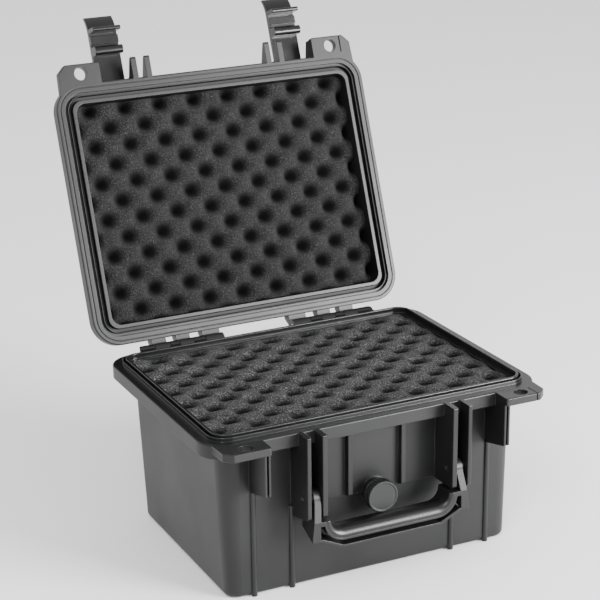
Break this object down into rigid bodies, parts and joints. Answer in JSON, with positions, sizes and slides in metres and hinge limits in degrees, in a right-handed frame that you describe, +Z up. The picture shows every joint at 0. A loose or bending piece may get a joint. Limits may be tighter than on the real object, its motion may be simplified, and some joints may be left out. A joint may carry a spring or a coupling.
{
  "type": "hard equipment case",
  "caption": "Hard moulded equipment case with a hinged lid, draw latches, a folding bail handle, a purge valve and foam filling, stored standing open.",
  "frame": {"origin": "centre of the base's flat underside", "axes": "+X to the right across the front, +Y from the front (latches and handle) to the hinge, +Z up; the lid stands open"},
  "size_m": [0.27, 0.3603, 0.3718],
  "materials": {
    "shell_plastic": "fine moulded grain, dark grey",
    "latch_plastic": "smooth dark grey",
    "grip_plastic": "smooth black",
    "knob_plastic": "fine grain, dark grey",
    "steel": "plain",
    "seal_rubber": "smooth",
    "lid_foam": "open-cell foam, charcoal",
    "base_foam": "open-cell foam, speckled grey"
  },
  "bodies": {
    "base": {"base_shell": "shell_plastic", "hinge_pin_left": "steel", "hinge_pin_right": "steel", "handle_pin_left": "steel", "handle_pin_right": "steel", "valve_bush": "latch_plastic", "valve_nut": "latch_plastic", "foam_floor_pad": "base_foam", "foam_block_lower": "base_foam", "foam_block_upper": "base_foam", "foam_top_sheet": "base_foam"},
    "lid": {"lid_shell": "shell_plastic", "lid_gasket": "seal_rubber", "lid_foam": "lid_foam", "latch_pin_left": "steel", "latch_pin_right": "steel"},
    "left_latch": {"latch_left": "latch_plastic"},
    "right_latch": {"latch_right": "latch_plastic"},
    "handle": {"handle_frame": "shell_plastic", "handle_grip": "grip_plastic"},
    "valve_knob": {"purge_knob": "knob_plastic", "valve_screw": "steel", "valve_seal": "seal_rubber"}
  },
  "joints": [
    {"name": "lid_hinge", "type": "hinge", "parent": "base", "child": "lid", "pos_m": [0, 0.1136, 0.1242], "axis": [1, 0, 0], "range_deg": [0, 110]},
    {"name": "left_latch_hinge", "type": "hinge", "parent": "lid", "child": "left_latch", "pos_m": [-0.07925, 0.20577, 0.31956], "axis": [1, 0, 0], "range_deg": [0, 90]},
    {"name": "right_latch_hinge", "type": "hinge", "parent": "lid", "child": "right_latch", "pos_m": [0.07925, 0.20577, 0.31956], "axis": [1, 0, 0], "range_deg": [0, 90]},
    {"name": "handle_hinge", "type": "hinge", "parent": "base", "child": "handle", "pos_m": [0, -0.108, 0.078], "axis": [-1, 0, 0], "range_deg": [0, 105]},
    {"name": "purge_knob_turn", "type": "hinge", "parent": "base", "child": "valve_knob", "pos_m": [0, -0.1, 0.0645], "axis": [0, -1, 0], "range_deg": [0, 180]}
  ]
}
